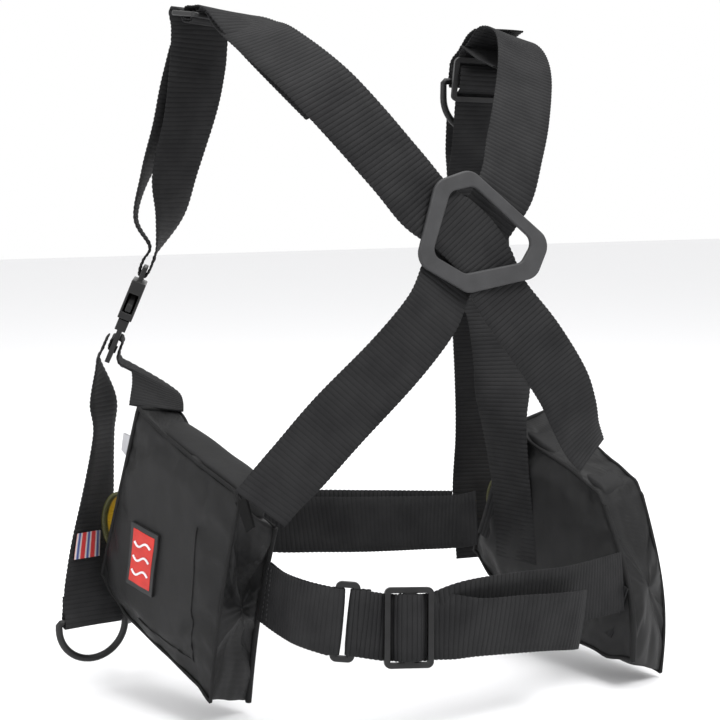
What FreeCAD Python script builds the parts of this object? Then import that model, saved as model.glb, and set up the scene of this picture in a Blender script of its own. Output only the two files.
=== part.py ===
import FreeCAD, Part
import Sketcher
import math
import os

# Shoulder harness of 50 mm webbing with two side weight pouches.
# Frame: +Z up, -Y to the wearer's front, +X to the wearer's left.
# The origin is the middle of the waist opening at the height of the belt.

V = FreeCAD.Vector
doc = FreeCAD.newDocument("weight_harness")

# ---------------------------------------------------------------- driving dimensions (mm, degrees)
DIMENSIONS = {
    "web_width": 50.0,
    "web_thick": 1.8,
    "frame_thick": 4.0,
    "frame_rail": 4.5,
    "frame_corner": 5.0,
    "slot_length": 51.0,
    "slot_gap": 10.5,
    "centre_bar": 8.0,
    "loop_gap": 9.6,
    "ring_wire": 6.0,
    "ring_inside": 52.0,
    "small_ring_inside": 27.0,
    "deep_ring_leg": 14.0,
    "flat_ring_leg": 5.0,
    "tab_width": 46.0,
    "pouch_tab_width": 25.0,
    "label_width": 28.0,
    "label_thick": 0.8,
    "plate_thick": 4.0,
    "plate_corner": 14.0,
    "window_corner": 8.0,
    "buckle_width": 62.0,
    "buckle_thick": 12.0,
    "buckle_wall": 2.0,
    "socket_length": 46.0,
    "plug_length": 38.0,
    "plug_thick": 9.0,
    "prong_length": 27.0,
    "prong_width": 7.0,
    "prong_thick": 5.0,
    "pouch_depth": 48.0,
    "pouch_wall": 3.0,
    "pouch_corner": 12.0,
    "bag_clearance": 1.5,
    "block_length": 56.0,
    "block_height": 104.0,
    "block_thick": 22.0,
    "block_gap": 0.5,
    "panel_thick": 2.0,
    "patch_width": 33.0,
    "patch_height": 53.0,
    "patch_thick": 2.4,
    "handle_width": 20.0,
    "handle_thick": 3.0,
}

sheet = doc.addObject("Spreadsheet::Sheet", "sizes")
for row, (alias, value) in enumerate(DIMENSIONS.items(), start=1):
    sheet.set("A%d" % row, alias)
    sheet.set("B%d" % row, "%g" % value)
    sheet.setAlias("B%d" % row, alias)
doc.recompute()


def size(alias):
    """The number in the sheet under this name."""
    return float(sheet.get(alias))


def unit(v):
    return V(v).multiply(1.0 / V(v).Length)


def frame_at(origin, x_dir, z_dir):
    """A placement whose local X and Z follow the two directions, X exactly."""
    x = unit(V(*x_dir))
    z = V(*z_dir)
    z = unit(z - x * z.dot(x))
    return FreeCAD.Placement(V(*origin), FreeCAD.Rotation(x, z.cross(x), z, "XZY"))


def point(placement, x, y, z):
    """A local point of a placement, as a point of the harness."""
    return tuple(placement.multVec(V(x, y, z)))


def direction(placement, x, y, z):
    return tuple(placement.Rotation.multVec(V(x, y, z)))


PIECES = []


def keep(obj, label, placement=None):
    """Names a finished sub-part and puts it in its place."""
    obj.Label = label
    if placement is not None:
        obj.Placement = placement
    PIECES.append(obj)
    return obj


def feature(label, shape, placement=None):
    obj = doc.addObject("Part::Feature", label)
    obj.Shape = shape
    return keep(obj, label, placement)


# ---------------------------------------------------------------- webbing
def curve_point(p, q, r, s, t):
    """A point at t on the smooth curve between q and r, with neighbours p and s."""
    return (q * 2 + (r - p) * t + (p * 2 - q * 5 + r * 4 - s) * t ** 2
            + (q * 3 - p - r * 3 + s) * t ** 3) * 0.5


def smooth(points, steps):
    """More points on the smooth curve through the given ones."""
    padded = [points[0]] + points + [points[-1]]
    out = []
    for i in range(1, len(padded) - 2):
        for k in range(steps):
            out.append(curve_point(*padded[i - 1:i + 3], k / steps))
    out.append(points[-1])
    return out


def webbing_shape(route, width_dirs, width, thick, steps):
    """A flat strap: a rectangle carried along the route, turned to each width direction."""
    centres = smooth([V(*p) for p in route], steps)
    turned = [unit(V(*width_dirs[0]))]
    for w in width_dirs[1:]:
        side = unit(V(*w))
        turned.append(side if side.dot(turned[-1]) > 0 else side * -1)
    sides = smooth(turned, steps)
    last = len(centres) - 1
    sections = []
    for i, centre in enumerate(centres):
        ahead = unit(centres[min(i + 1, last)] - centres[max(i - 1, 0)])
        side = unit(sides[i] - ahead * sides[i].dot(ahead))
        half_side = side * (width / 2)
        half_up = unit(ahead.cross(side)) * (thick / 2)
        corners = [centre + half_side + half_up, centre - half_side + half_up,
                   centre - half_side - half_up, centre + half_side - half_up]
        sections.append(Part.makePolygon(corners + [corners[0]]))
    return Part.makeLoft(sections, True, True)


def strap(label, route, width_dirs, steps=2, width="web_width", thick="web_thick"):
    """A strap along a route; a single width direction serves the whole of it."""
    if len(width_dirs) == 1:
        width_dirs = width_dirs * len(route)
    return feature(label, webbing_shape(route, width_dirs, size(width), size(thick), steps))


def local_route(placement, path):
    """Points (along, above) in a placement's XZ plane, as points of the harness."""
    return [point(placement, x, 0, z) for x, z in path]


# ---------------------------------------------------------------- where the hardware sits
LEFT_SLIDE = frame_at((134, -48, 445), (0.15, -0.95, 0.12), (-0.1, 0.1, 1))
RIGHT_SLIDE = frame_at((-119, -46, 404), (-0.02, -0.2, -1), (-0.25, -0.95, 0.2))
WAIST_SLIDE = frame_at((58, 131, -11.5), (-0.95, 0.27, -0.05), (0.27, 0.95, 0.2))
WAIST_LOOP = frame_at((103, 114, -5), (-0.9, 0.4, -0.1), (0.4, 0.9, 0.1))
FRONT_SLIDE = frame_at((88, -112, 20), (-1, 0.02, -0.03), (0, -1, 0.05))
PLATE = frame_at((-11, 118, 281), (-1, 0.05, 0), (0.05, 1, 0.09))
BUCKLES = {
    "left": frame_at((188, -120, 205), (0.37, -0.12, -0.92), (0.853, -0.339, 0.387)),
    "right": frame_at((-133, -80, 266), (-0.04, 0.02, -1), (-0.4, -0.92, 0)),
}
PITCH = math.radians(20)
MOUTH_X = 200.0


def pouch_frame(origin, forward):
    """X runs forward and up along the pouch, Z up across it, Y straight through it."""
    flat = unit(V(*forward))
    along = flat * math.cos(PITCH) + V(0, 0, math.sin(PITCH))
    across = V(0, 0, math.cos(PITCH)) - flat * math.sin(PITCH)
    return frame_at(origin, tuple(along), tuple(across))


# Local Y = 0 is each pouch's outer face. Outward is +Y on the left and -Y on the right.
POUCHES = {
    "left": (pouch_frame((150, 97, -8), (0.321, -0.947, 0)), 1),
    "right": (pouch_frame((-219, 124, -22), (0.19, -0.982, 0)), -1),
}


# ---------------------------------------------------------------- sketched hardware
def sketch_in(body, name):
    """An empty sketch on the body's own XY plane."""
    plane = [f for f in body.Origin.OriginFeatures if f.Role == "XY_Plane"][0]
    sketch = body.newObject("Sketcher::SketchObject", name)
    sketch.AttachmentSupport = (plane, [""])
    sketch.MapMode = "FlatFace"
    return sketch


def add_loop(sketch, corners):
    """A closed loop of straight lines; returns the number of its first line."""
    first = len(sketch.Geometry)
    count = len(corners)
    for i in range(count):
        start, end = corners[i], corners[(i + 1) % count]
        sketch.addGeometry(Part.LineSegment(V(*start, 0), V(*end, 0)), False)
    for i in range(count):
        following = first + (i + 1) % count
        sketch.addConstraint(Sketcher.Constraint("Coincident", first + i, 2, following, 1))
    return first


def rectangle(sketch, length, width, middle="0"):
    """A rectangle bound to the sheet, centred in y, with its middle at this x."""
    first = add_loop(sketch, [(-1, -1), (1, -1), (1, 1), (-1, 1)])
    for i, kind in enumerate(["Horizontal", "Vertical", "Horizontal", "Vertical"]):
        sketch.addConstraint(Sketcher.Constraint(kind, first + i))
    for kind, ends, expression in (
            ("DistanceX", (first, 1, first, 2), length),
            ("DistanceY", (first + 1, 1, first + 1, 2), width)):
        index = sketch.addConstraint(Sketcher.Constraint(kind, *ends, 2.0))
        sketch.setExpression("Constraints[%d]" % index, expression)
    for kind, expression in (("DistanceX", "(%s) / 2 + %s" % (length, middle)),
                             ("DistanceY", "(%s) / 2" % width)):
        index = sketch.addConstraint(Sketcher.Constraint(kind, -1, 1, first + 1, 2, 1.0))
        sketch.setExpression("Constraints[%d]" % index, expression)


def upright_edges(shape, wanted):
    """Names of the edges along local Z whose place passes the test."""
    names = []
    for i, edge in enumerate(shape.Edges, start=1):
        low, high = edge.Vertexes[0].Point, edge.Vertexes[-1].Point
        if abs(high.z - low.z) > 1 and wanted(low):
            names.append("Edge%d" % i)
    return names


def cut_through(body, name, sketch):
    pocket = body.newObject("PartDesign::Pocket", name)
    pocket.Profile = sketch
    pocket.Type = "ThroughAll"
    pocket.Midplane = True
    return pocket


def slotted_frame(label, placement, slots, length):
    """A webbing slide or loop: a plate with two slots beside a centre bar, or one slot."""
    body = doc.addObject("PartDesign::Body", label)
    outline = sketch_in(body, label + "_outline")
    rectangle(outline, length, "sizes.slot_length + 2 * sizes.frame_rail")
    pad = body.newObject("PartDesign::Pad", label + "_pad")
    pad.Profile = outline
    pad.setExpression("Length", "sizes.frame_thick")
    pad.Midplane = True
    holes = sketch_in(body, label + "_slots")
    for gap, middle in slots:
        rectangle(holes, gap, "sizes.slot_length", middle)
    pocket = cut_through(body, label + "_cut", holes)
    doc.recompute()
    edge_y = size("slot_length") / 2 + size("frame_rail")
    fillet = body.newObject("PartDesign::Fillet", label + "_round")
    fillet.Base = (pocket, upright_edges(pocket.Shape, lambda p: abs(abs(p.y) - edge_y) < 0.1))
    fillet.setExpression("Radius", "sizes.frame_corner")
    body.Tip = fillet
    keep(body, label, placement)


TWO_SLOTS = [("sizes.slot_gap", "(sizes.centre_bar + sizes.slot_gap) / 2"),
             ("sizes.slot_gap", "-(sizes.centre_bar + sizes.slot_gap) / 2")]
TWO_SLOT_LENGTH = "sizes.centre_bar + 2 * sizes.slot_gap + 2 * sizes.frame_rail"
for slide_name, slide_place in (("left_shoulder_slide", LEFT_SLIDE), ("right_shoulder_slide", RIGHT_SLIDE),
                                ("waist_slide", WAIST_SLIDE), ("front_belt_slide", FRONT_SLIDE)):
    slotted_frame(slide_name, slide_place, TWO_SLOTS, TWO_SLOT_LENGTH)
slotted_frame("waist_loop", WAIST_LOOP, [("sizes.loop_gap", "0")],
              "sizes.loop_gap + 2 * sizes.frame_rail")


def round_corners(body, name, before, corners, radius):
    """Rounds a sketched shape's corners, which are the given (x, y) places."""
    fillet = body.newObject("PartDesign::Fillet", name)
    at_corner = lambda p: any(abs(p.x - x) + abs(p.y - y) < 0.1 for x, y in corners)
    fillet.Base = (before, upright_edges(before.Shape, at_corner))
    fillet.setExpression("Radius", radius)
    doc.recompute()


def back_plate():
    """The cross-over plate: a rounded frame that lies over the crossing straps."""
    outside = [(-57, -22), (-38, 38), (-8, 47), (60, -8), (46, -36), (-14, -46)]
    inside = [(-43, -16), (-26, 30), (-6, 34), (44, -8), (33, -24), (-16, -31)]
    body = doc.addObject("PartDesign::Body", "back_plate")
    outline = sketch_in(body, "plate_outline")
    add_loop(outline, outside)
    pad = body.newObject("PartDesign::Pad", "plate_pad")
    pad.Profile = outline
    pad.setExpression("Length", "sizes.plate_thick")
    pad.Midplane = True
    doc.recompute()
    round_corners(body, "plate_round", pad, outside, "sizes.plate_corner")
    window = sketch_in(body, "plate_window")
    add_loop(window, inside)
    pocket = cut_through(body, "plate_cut", window)
    doc.recompute()
    round_corners(body, "window_round", pocket, inside, "sizes.window_corner")
    keep(body, "back_plate", PLATE)


back_plate()


def d_ring(label, placement, leg_length="deep_ring_leg", inside="ring_inside"):
    """A D-shaped ring: a straight bar along Y, two legs down and a half circle."""
    parts = []

    def rod(name, length):
        cylinder = doc.addObject("Part::Cylinder", label + name)
        cylinder.setExpression("Radius", "sizes.ring_wire / 2")
        cylinder.setExpression("Height", length)
        parts.append(cylinder)
        return cylinder

    reach = (size(inside) + size("ring_wire")) / 2
    bar = rod("_bar", "sizes.%s + sizes.ring_wire" % inside)
    bar.Placement = FreeCAD.Placement(V(0, -reach, 0), FreeCAD.Rotation(V(1, 0, 0), -90))
    for name, y in (("_leg_a", -reach), ("_leg_b", reach)):
        leg = rod(name, "sizes." + leg_length)
        leg.Placement = FreeCAD.Placement(V(0, y, -size(leg_length)), FreeCAD.Rotation())
    for name, y in (("_knee_a", -reach), ("_knee_b", reach)):
        knee = doc.addObject("Part::Sphere", label + name)
        knee.setExpression("Radius", "sizes.ring_wire / 2")
        knee.Placement = FreeCAD.Placement(V(0, y, 0), FreeCAD.Rotation())
        parts.append(knee)
    arc = doc.addObject("Part::Torus", label + "_arc")
    arc.setExpression("Radius1", "(sizes.%s + sizes.ring_wire) / 2" % inside)
    arc.setExpression("Radius2", "sizes.ring_wire / 2")
    arc.Angle3 = 180
    flat_down = FreeCAD.Rotation(V(0, -1, 0), V(0, 0, -1), V(1, 0, 0), "ZXY")
    arc.Placement = FreeCAD.Placement(V(0, 0, -size(leg_length)), flat_down)
    parts.append(arc)
    ring = doc.addObject("Part::MultiFuse", label)
    ring.Shapes = parts
    keep(ring, label, placement)


# ---------------------------------------------------------------- how webbing goes round a bar
def round_bar(bar_x, half_bar, leaves, side):
    """A loop sewn round a slide's bar: its strand leaves along X on the far side of the frame."""
    reach = half_bar + 2.3
    path = [(reach, -3.4), (reach, 0), (reach - 1.7, 3.1), (0, 3.4), (1.7 - reach, 3.1), (-reach, 0),
            (-reach, -3.8), (2.8 - reach, -5.8), (4, -6), (20, -5.8)]
    return [(bar_x + leaves * x, side * z) for x, z in path]


def over_bar(side):
    """Webbing that runs on through a slide: under both rails and over the centre bar's loop."""
    rising = [(-28, -3.8), (-17, -3.8), (-14.8, -3.5), (-12.5, -2.6), (-9.8, 1.5), (-6.5, 4.9)]
    falling = [(-x, z) for x, z in reversed(rising)]
    return [(x, side * z) for x, z in rising + [(0, 5.7)] + falling]


def round_ring(back, front):
    """A fold round a ring's bar, with its two layers reaching back and front above the bar."""
    bend = (size("ring_wire") + size("web_thick")) / 2 + 0.6
    return ([(-1.5, back), (-2.2, 12), (-bend, 3), (-0.75 * bend, -0.7 * bend), (0, -bend),
             (0.75 * bend, -0.7 * bend), (bend, 3), (2.2, 12), (1.5, front)])


def across(placement):
    """The width direction of webbing that lies flat in a slide, buckle or ring."""
    return direction(placement, 0, 1, 0)


# ---------------------------------------------------------------- shoulder straps
def shoulder_strap(label, slide, over_shoulder, over_dirs):
    loop = local_route(slide, round_bar(0, size("centre_bar") / 2, -1, -1))
    strap(label, loop + over_shoulder, [across(slide)] * len(loop) + over_dirs)


shoulder_strap("left_shoulder_strap", LEFT_SLIDE,
    [(125, -8, 437), (121, 25, 423), (100, 76, 386), (57, 103, 330), (32, 108.5, 301), (11, 114, 286),
     (-6, 115.5, 271), (-17, 117, 256), (-31, 118, 230), (-56, 124, 197), (-84, 122, 161), (-99, 118, 136),
     (-112, 112, 114), (-126, 106, 98)],
    [(.98, -.02, -.15), (.94, -.07, -.33), (.9, -.11, -.42), (.87, 0, -.5), (.84, 0, -.53), (.84, .02, -.53),
     (.84, .05, -.53), (.85, .08, -.5), (.86, .1, -.5), (.84, 0, -.55), (.88, 0, -.46), (.9, .1, -.38),
     (.88, .3, -.33), (.84, .45, -.25)])
shoulder_strap("right_shoulder_strap", RIGHT_SLIDE,
    [(-119, -33, 432), (-118, -14, 440), (-115, 12, 431), (-101, 40, 407), (-76, 72, 370), (-58, 90, 342),
     (-42, 104, 315), (-24, 108.5, 293), (-2, 110, 268), (14, 111.2, 249), (33, 119, 221), (65, 117, 186),
     (103, 106, 146), (131, 95, 112), (146, 88, 94)],
    [(.97, -.22, .1), (.94, -.2, .25), (.92, -.15, .36), (.92, -.21, .33), (.91, -.24, .34), (.9, -.2, .38),
     (.87, -.1, .46), (.84, 0, .52), (.83, .02, .55), (.83, .02, .56), (.8, 0, .6), (.77, -.08, .63),
     (.72, -.18, .67), (.73, -.13, .67), (.78, -.05, .62)])


# ---------------------------------------------------------------- front straps: tail, slide, leg, buckle loop
SOCKET_BAR = 3.0 - size("socket_length")


def front_strap(label, slide, buckle, tail, tail_dirs, leg, leg_dirs, back_up, back_dirs):
    """One webbing: its tail, through the slide, down the leg, round the buckle's bar and up again."""
    through = local_route(slide, over_bar(-1))
    loop = local_route(buckle, [(SOCKET_BAR - 16, -3.4), (SOCKET_BAR - 8, -3.8), (SOCKET_BAR - 1, -3.9),
                                (SOCKET_BAR + 4.5, -2.5), (SOCKET_BAR + 5.6, 0), (SOCKET_BAR + 4.5, 2.5),
                                (SOCKET_BAR - 1, 3.9), (SOCKET_BAR - 8, 3.8), (SOCKET_BAR - 20, 3.4)])
    strap(label, tail + through + leg + loop + back_up,
          tail_dirs + [across(slide)] * len(through) + leg_dirs + [across(buckle)] * len(loop) + back_dirs)


front_strap("left_front_strap", LEFT_SLIDE, BUCKLES["left"],
    [(92, 77, 374), (113, 24, 416)], [(.9, -.11, -.42), (.94, -.07, -.33)],
    [(134, -80, 442), (133, -84, 427), (134, -86, 408), (138, -92, 373), (147, -107, 324), (150, -112, 290)],
    [(.98, .03, .03), (.99, .03, .08), (.99, .05, .05), (.98, .15, -.1), (.93, .36, 0), (.75, .65, 0)],
    [(177, -119, 288), (171, -120, 325), (157, -113, 362), (146, -103, 398), (141, -99, 420)],
    [(.38, .92, 0), (.5, .86, 0), (.8, .55, 0), (.95, .25, 0), (.98, .1, 0)])
front_strap("right_front_strap", RIGHT_SLIDE, BUCKLES["right"],
    [(-111, 16, 404), (-114, -12, 414)], [(.93, -.15, .34), (.95, -.18, .28)],
    [(-121, -57, 366), (-125, -66, 342)], [(.97, -.25, 0), (.95, -.32, 0)],
    [(-135, -92, 345), (-133, -88, 372)], [(.93, -.36, 0), (.95, -.3, 0)])


# ---------------------------------------------------------------- side-release buckles
def box(length, width, height, x, y, z):
    """A block from x along X, centred on y and z."""
    return Part.makeBox(length, width, height, V(x, y - width / 2, z - height / 2))


def buckle(side, placement):
    width, thick, wall = size("buckle_width"), size("buckle_thick"), size("buckle_wall")
    length, base = size("socket_length"), size("plug_length")
    cavity_end = 15 - length
    window = (-22, 16)
    shell = box(length - 13, width, thick, 13 - length, 0, 0)
    tongue = box(13.5, width - 6, size("frame_thick"), -length, 0, 0)
    socket = shell.fuse(tongue)
    socket = socket.cut(box(8, size("slot_length"), thick, 5 - length, 0, 0))
    socket = socket.cut(box(-cavity_end, width - 4 * wall, thick - 2 * wall, cavity_end, 0, 0))
    for edge in (-1, 1):
        socket = socket.cut(box(window[1], 6 * wall, thick - 2 * wall, window[0], edge * width / 2, 0))
    feature(side + "_buckle_socket", socket.removeSplitter(), placement)

    plug = box(9.5, width - 4, size("plug_thick"), 0.5, 0, 0)
    plug = plug.fuse(box(base - 9, width - 4, size("frame_thick"), 9, 0, 0))
    plug = plug.cut(box(9, size("slot_length"), thick, 11, 0, 0))
    plug = plug.cut(box(8, size("slot_length"), thick, 26, 0, 0))
    plug = plug.fuse(box(26, 9, size("prong_thick"), -25, 0, 0))
    for edge in (-1, 1):
        seat = size("prong_width") + 4
        plug = plug.cut(box(6, seat, thick, 0, edge * (width / 2 - 10.5), 0))
    feature(side + "_buckle_plug", plug.removeSplitter(), placement)

    for name, edge in (("front", -1), ("rear", 1)):
        near, far = edge * (width / 2 - 10.5 - size("prong_width") / 2), edge * (width / 2 - 10.5
                                                                                + size("prong_width") / 2)
        tip = -size("prong_length")
        shoulder = edge * (width / 2 + 0.5)
        outline = [(5.6, near), (5.6, far), (-7, far), (-7, shoulder), (-13, shoulder), (tip + 7, far),
                   (tip, far - edge * 2), (tip, near)]
        wire = Part.makePolygon([V(x, y, -size("prong_thick") / 2) for x, y in outline + [outline[0]]])
        prong = Part.Face(wire).extrude(V(0, 0, size("prong_thick")))
        feature("%s_buckle_prong_%s" % (side, name), prong, placement)


for buckle_side, buckle_place in BUCKLES.items():
    buckle(buckle_side, buckle_place)

# ---------------------------------------------------------------- straps from the buckles
LEFT_TAIL_RING = frame_at((227, -107, -46), (.05, -1, 0), (0, 0, 1))
PLUG_BAR = 23.0


def pouch_strap(side, leaves, route, dirs):
    """The strap between a buckle's plug and the pouch; its loop leaves the bar over so many points."""
    loop = local_route(BUCKLES[side], round_bar(PLUG_BAR, 3, 1, 1)[:leaves])
    strap(side + "_pouch_strap", loop + route, [across(BUCKLES[side])] * len(loop) + dirs)


LEFT_POUCH, RIGHT_POUCH = POUCHES["left"][0], POUCHES["right"][0]
pouch_strap("left", -1, [point(BUCKLES["left"], 33, 0, -7), point(BUCKLES["left"], 36.5, 0, -11),
                         point(BUCKLES["left"], 37, 0, -16), (180, -114, 159.5), (174.5, -105.5, 155),
                         (172, -94.5, 151.5), (173.5, -80, 147.5), point(LEFT_POUCH, 203, -26, 89)],
            [across(BUCKLES["left"]), across(BUCKLES["left"]), across(BUCKLES["left"]), (.61, .76, .19),
             (.79, .5, .33), (.88, .14, .45), (.9, .2, .3), (.94, .26, .12)])
pouch_strap("right", None, [(-139, -64, 196), (-139, -46, 150), point(RIGHT_POUCH, 203, 57, 66),
                      point(RIGHT_POUCH, 180, 54.6, 22), point(RIGHT_POUCH, 158, 54.2, -19),
                      point(RIGHT_POUCH, 143, 54.2, -50)],
            [(.99, -.1, 0), (.9, -.4, 0), (.4, -.9, 0), (.19, -.98, 0), (.19, -.98, 0), (.19, -.98, 0)])

hang = local_route(BUCKLES["left"], [(20, 7.4), (34, 7.6), (44, 7)])
fold = local_route(LEFT_TAIL_RING, round_ring(20, 22))
strap("left_pull_tail", hang + [(206, -129, 134), (207, -127, 106), (216, -121, 53), (222.5, -115, 17),
                                (227, -110, -12)] + fold,
      [across(BUCKLES["left"])] * 3 + [(.69, .72, .1), (.62, .79, .1), (.77, .64, .1), (.89, .45, .05),
                                       (.96, .3, 0)] + [across(LEFT_TAIL_RING)] * len(fold))
strap("right_pull_tail", local_route(BUCKLES["right"], [(20, 7.4), (34, 7.6), (44, 7)])
      + [(-146, -96, 180), (-155, -106, 130), (-160, -112, 80), (-158, -113, 22), (-163, -113, -44)],
      [across(BUCKLES["right"])] * 3 + [(.96, -.28, 0)] * 5)
strap("tail_label", [(227.3, -109.3, 28), (229, -107.6, 17), (230.4, -106.4, 7)],
      [(.86, .51, .05), (.89, .45, .05), (.91, .41, .05)],
      width="label_width", thick="label_thick")

# ---------------------------------------------------------------- belts
strap("front_belt", local_route(FRONT_SLIDE, round_bar(0, size("centre_bar") / 2, 1, 1))
      + [(56, -106, 15), (23, -97, 13), (-20, -84, 11), (-75, -75, 8), (-110, -72, 6),
         point(RIGHT_POUCH, 199, 57.5, -38)],
      [across(FRONT_SLIDE)] * 10 + [(0, .2, -.97), (-.1, .25, -.95), (-.05, .15, -.97), (0, 0, -1), (.03, 0, -1),
                                    (.03, 0, -1)])
strap("right_pouch_belt", [point(RIGHT_POUCH, x, 51.7, -29) for x in (197, 110, 24)],
      [direction(RIGHT_POUCH, 0, 0, -1)])
strap("front_belt_tail", [(156.5, -84, 25), (150, -98, 24), (128, -107, 22)] + local_route(FRONT_SLIDE, over_bar(1))
      + [(42, -107, 17), (18, -102, 18), (-20, -91, 16), (-75, -82, 12), (-107, -79, 9)],
      [(0, 0, -1)] * 3 + [across(FRONT_SLIDE)] * 13
      + [(-.05, .1, -.98), (-.1, .25, -.95), (-.05, .15, -.97), (0, 0, -1), (.03, 0, -1)])

SEAM = direction(LEFT_POUCH, -0.06, 0, -1)
strap("rear_belt_anchor", [point(LEFT_POUCH, 51.5, -43.5, -15), (127, 58, -3), (123, 86, -3)]
    + local_route(WAIST_LOOP, [(-13.8, -3.8), (-8.8, -4), (-3.6, -3.1), (-2.4, 0), (-3.6, 3.1), (-8.8, 4),
                               (-13.8, 3.8)])
    + [(128, 89, -2), (131, 60, -2), point(LEFT_POUCH, 51.5, -39.5, -15)],
    [SEAM, (.05, 0, -.99), (.1, -.05, -.99)] + [across(WAIST_LOOP)] * 7
    + [(.1, -.05, -.99), (.05, 0, -.99), SEAM])
strap("rear_belt_strap", local_route(WAIST_LOOP, [
    (17.8, -3.9), (8.8, -4), (3.6, -3.1), (2.4, 0), (3.6, 3.1), (8.8, 4), (12, 3.9)])
    + local_route(WAIST_SLIDE, over_bar(1)[1:])
    + [(8, 146, -15), (-27, 149, -17), (-59, 149, -20), (-84, 144, -24), (-98, 136, -27)],
    [across(WAIST_LOOP)] * 7 + [across(WAIST_SLIDE)] * 12
    + [(0, -.2, -.98), (0, -.2, -.98), (.03, -.2, -.98), (.05, -.15, -.98), (.05, -.1, -.98)])
strap("rear_belt_main", local_route(WAIST_SLIDE, round_bar(0, size("centre_bar") / 2, 1, 1))
      + [(10, 136, -4), (-36, 133, -5), (-92, 125, -9), (-162, 104.5, -13)],
      [across(WAIST_SLIDE)] * 10 + [(.05, -.1, -.99)] * 3 + [direction(RIGHT_POUCH, -0.5, 0, -1)])

# ---------------------------------------------------------------- D-rings and their tabs
RIGHT_SHOULDER_RING = frame_at((-120, -66, 404), (-.2, -.98, 0), (0, 0, 1))
d_ring("right_shoulder_ring", RIGHT_SHOULDER_RING)
fold = local_route(RIGHT_SHOULDER_RING, [(-x, z) for x, z in reversed(round_ring(16, 18))])
strap("right_shoulder_ring_tab", [(-118, -24, 445.5), (-119, -38, 441), (-120, -53, 430)] + fold,
      [across(RIGHT_SHOULDER_RING)], width="tab_width")
d_ring("left_tail_ring", LEFT_TAIL_RING, "flat_ring_leg")
POUCH_RING = frame_at((186, -131, -38), (.86, -.5, 0), (0, 0, 1))
d_ring("left_pouch_ring", POUCH_RING, "flat_ring_leg", "small_ring_inside")
strap("left_pouch_ring_tab", local_route(POUCH_RING, round_ring(18, 18)), [across(POUCH_RING)],
      width="pouch_tab_width")


# ---------------------------------------------------------------- weight pouches


def slab(outline, low, high):
    """A flat outline in XZ, given depth from low to high along Y."""
    wire = Part.makePolygon([V(x, low, z) for x, z in outline + [outline[0]]])
    return Part.Face(wire).extrude(V(0, high - low, 0))


def inset(outline, distance):
    """The outline drawn in by a distance all round."""
    wire = Part.makePolygon([V(x, 0, z) for x, z in outline + [outline[0]]])
    smaller = Part.Face(wire).makeOffset2D(-distance)
    return [(v.Point.x, v.Point.z) for v in smaller.OuterWire.OrderedVertexes]


def rounded(shape, radius, wanted):
    """The shape with its edges through the depth rounded where the test holds."""
    edges = [e for e in shape.Edges
             if abs(e.Vertexes[0].Point.y - e.Vertexes[-1].Point.y) > 1 and wanted(e.Vertexes[0].Point)]
    return shape.makeFillet(radius, edges)


def between(out, near, far):
    """Two depths measured inward from the outer face, in order along local Y."""
    return sorted((-out * near, -out * far))


# Each pouch's rear edge (top and bottom corner) and its height at the rear and at the mouth.
REAR_EDGES = {"left": ((72, 76), (48, -103)), "right": ((69, 56), (4, -88))}
MOUTH_TOPS = {"left": 82, "right": 64}
MOUTH_LOW = -74
BAG_STARTS = (70, 130)


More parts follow.
